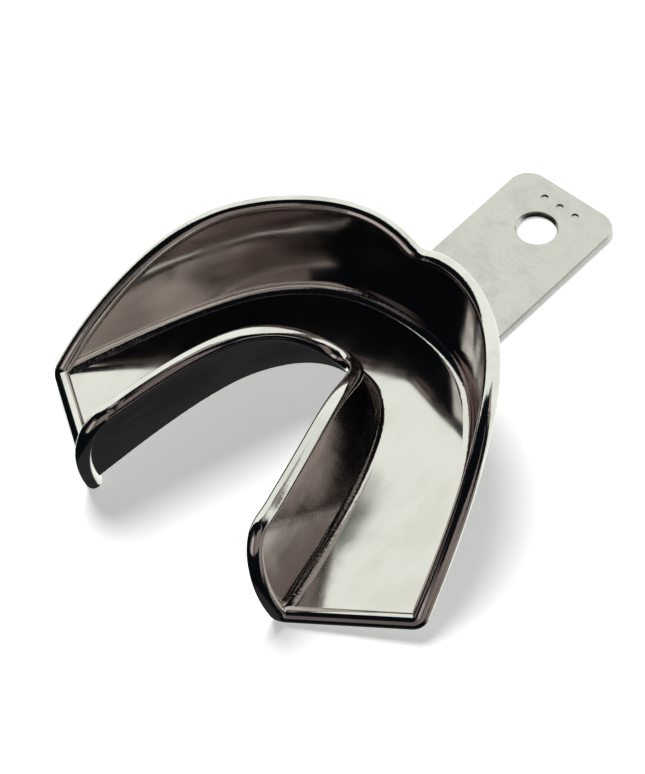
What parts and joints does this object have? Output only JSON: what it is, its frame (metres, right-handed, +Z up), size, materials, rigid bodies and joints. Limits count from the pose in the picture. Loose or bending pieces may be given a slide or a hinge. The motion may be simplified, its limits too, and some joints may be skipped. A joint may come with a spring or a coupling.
{
  "type": "dental impression tray",
  "caption": "Pressed-metal lower full-arch impression tray: horseshoe trough with a beaded edge and a cranked flat strap handle with a hanging hole.",
  "frame": {"origin": "centre of the bounding box at its base: the surface that the heels and the handle rest on", "axes": "+Y from the heels to the handle's end, +Z up out of the trough, symmetric about X = 0"},
  "size_m": [0.0718, 0.0939, 0.0248],
  "materials": {
    "plated_sheet": "polished nickel plate on pressed metal",
    "plated_bead": "polished nickel plate",
    "satin_handle": "satin nickel plate",
    "solder": "satin, plated over"
  },
  "bodies": {
    "root": {"tray_shell": "plated_sheet", "buccal_rim_wire": "plated_bead", "lingual_rim_wire": "plated_bead", "left_heel_wire": "plated_bead", "right_heel_wire": "plated_bead", "handle": "satin_handle", "handle_solder": "solder"}
  },
  "joints": []
}
